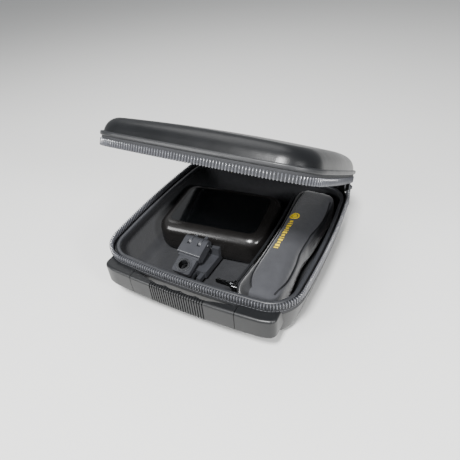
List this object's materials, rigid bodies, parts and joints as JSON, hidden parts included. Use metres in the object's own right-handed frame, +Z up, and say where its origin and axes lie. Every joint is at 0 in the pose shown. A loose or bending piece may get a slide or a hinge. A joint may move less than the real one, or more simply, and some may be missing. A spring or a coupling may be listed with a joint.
{
  "type": "launch monitor",
  "caption": "Portable radar launch monitor with a tilting tripod arm, lying in its zip-up moulded carry case with a ribbed handle, beside a padded neoprene accessory pouch.",
  "frame": {"origin": "centre of the flat underside of the case's tray, on the surface it stands on", "axes": "+Z up, -Y toward the handle side, +X along the handle to the right when facing the handle"},
  "size_m": [0.2018, 0.2165, 0.1652],
  "materials": {
    "shell_foam": "smooth satin skin over moulded foam",
    "inner_fabric": "fine knitted lining",
    "tape": "woven tape",
    "chain": "moulded coil",
    "rim_bead": "satin edging",
    "handle_plastic": "satin moulded",
    "metal": "satin plated",
    "bright_metal": "bright plated",
    "monitor_shell": "satin moulded",
    "seal_rubber": "matt",
    "window_sheet": "polished",
    "board": "satin lacquer",
    "cell": "matt wrap",
    "copper": "bare",
    "screen": "polished",
    "control_rubber": "matt",
    "bracket_plastic": "satin moulded",
    "pouch_fabric": "neoprene with a knitted face"
  },
  "bodies": {
    "tray": {"tray_shell": "shell_foam", "tray_lining": "inner_fabric", "tray_zip_tape": "tape", "tray_zip_chain": "chain", "tray_inner_binding": "rim_bead", "tray_hinge_fabric": "tape", "zip_slider_right": "metal", "zip_slider_left": "metal", "handle_bracket_right": "handle_plastic", "handle_bracket_left": "handle_plastic", "handle_rivets": "metal"},
    "lid": {"lid_shell": "shell_foam", "lid_lining": "inner_fabric", "lid_zip_tape": "tape", "lid_zip_chain": "chain", "lid_piping": "rim_bead", "lid_inner_binding": "rim_bead", "lid_hinge_fabric": "tape"},
    "handle": {"handle_grip": "handle_plastic"},
    "pull_right": {"zip_pull_right": "metal"},
    "pull_left": {"zip_pull_left": "metal"},
    "monitor": {"monitor_rear_case": "monitor_shell", "monitor_front_case": "monitor_shell", "monitor_seal": "seal_rubber", "face_window": "window_sheet", "main_board": "board", "battery_pack": "cell", "antenna_board": "board", "antenna_patches": "copper", "board_standoffs": "metal", "display_module": "screen", "display_frame": "bracket_plastic", "shield_can": "metal", "power_switch": "bracket_plastic", "charging_socket": "metal", "case_screws": "metal", "stand_bracket": "bracket_plastic", "bracket_screws": "metal", "stand_pin": "metal"},
    "button": {"power_button": "control_rubber"},
    "cover": {"port_cover": "control_rubber"},
    "arm": {"stand_arm": "bracket_plastic", "tripod_tongue": "bracket_plastic", "thread_bush": "metal"},
    "pouch": {"accessory_pouch": "pouch_fabric", "pouch_zip": "chain", "pouch_slider": "bright_metal"},
    "small_pull": {"pouch_pull": "bright_metal"}
  },
  "joints": [
    {"name": "lid_hinge", "type": "hinge", "parent": "tray", "child": "lid", "pos_m": [0, 0.1013, 0.05], "axis": [-1, 0, 0], "range_deg": [-29.2, 75]},
    {"name": "handle_pull_out", "type": "slide", "parent": "tray", "child": "handle", "axis": [0, -1, 0], "range_m": [0, 0.0045]},
    {"name": "zip_pull_right_swing", "type": "hinge", "parent": "tray", "child": "pull_right", "pos_m": [0.09149, 0.09149, 0.05], "axis": [0.7071, -0.7071, 0], "range_deg": [0, 140]},
    {"name": "zip_pull_left_swing", "type": "hinge", "parent": "tray", "child": "pull_left", "pos_m": [-0.09149, 0.09149, 0.05], "axis": [0.7071, 0.7071, 0], "range_deg": [0, 140]},
    {"name": "monitor_lift_out", "type": "slide", "parent": "tray", "child": "monitor", "axis": [0, 0, 1], "range_m": [0, 0.03]},
    {"name": "power_button_press", "type": "slide", "parent": "monitor", "child": "button", "axis": [0.1045, -0.9945, 0], "range_m": [0, 0.0008], "stiffness_N_per_m": 600},
    {"name": "port_cover_swing", "type": "hinge", "parent": "monitor", "child": "cover", "pos_m": [-0.0118, 0.06316, 0.029], "axis": [0.9945, 0.1045, 0], "range_deg": [0, 110], "stiffness_Nm_per_rad": 0.002},
    {"name": "stand_arm_tilt", "type": "hinge", "parent": "monitor", "child": "arm", "pos_m": [-0.02563, -0.03518, 0.0318], "axis": [-0.9994, 0.0349, 0], "range_deg": [-3, 100]},
    {"name": "pouch_lift_out", "type": "slide", "parent": "tray", "child": "pouch", "axis": [0, 0, 1], "range_m": [0, 0.012]},
    {"name": "pouch_pull_swing", "type": "hinge", "parent": "pouch", "child": "small_pull", "pos_m": [0.0345, -0.0785, 0.0385], "axis": [0, 0, 1], "range_deg": [-40, 30]}
  ]
}
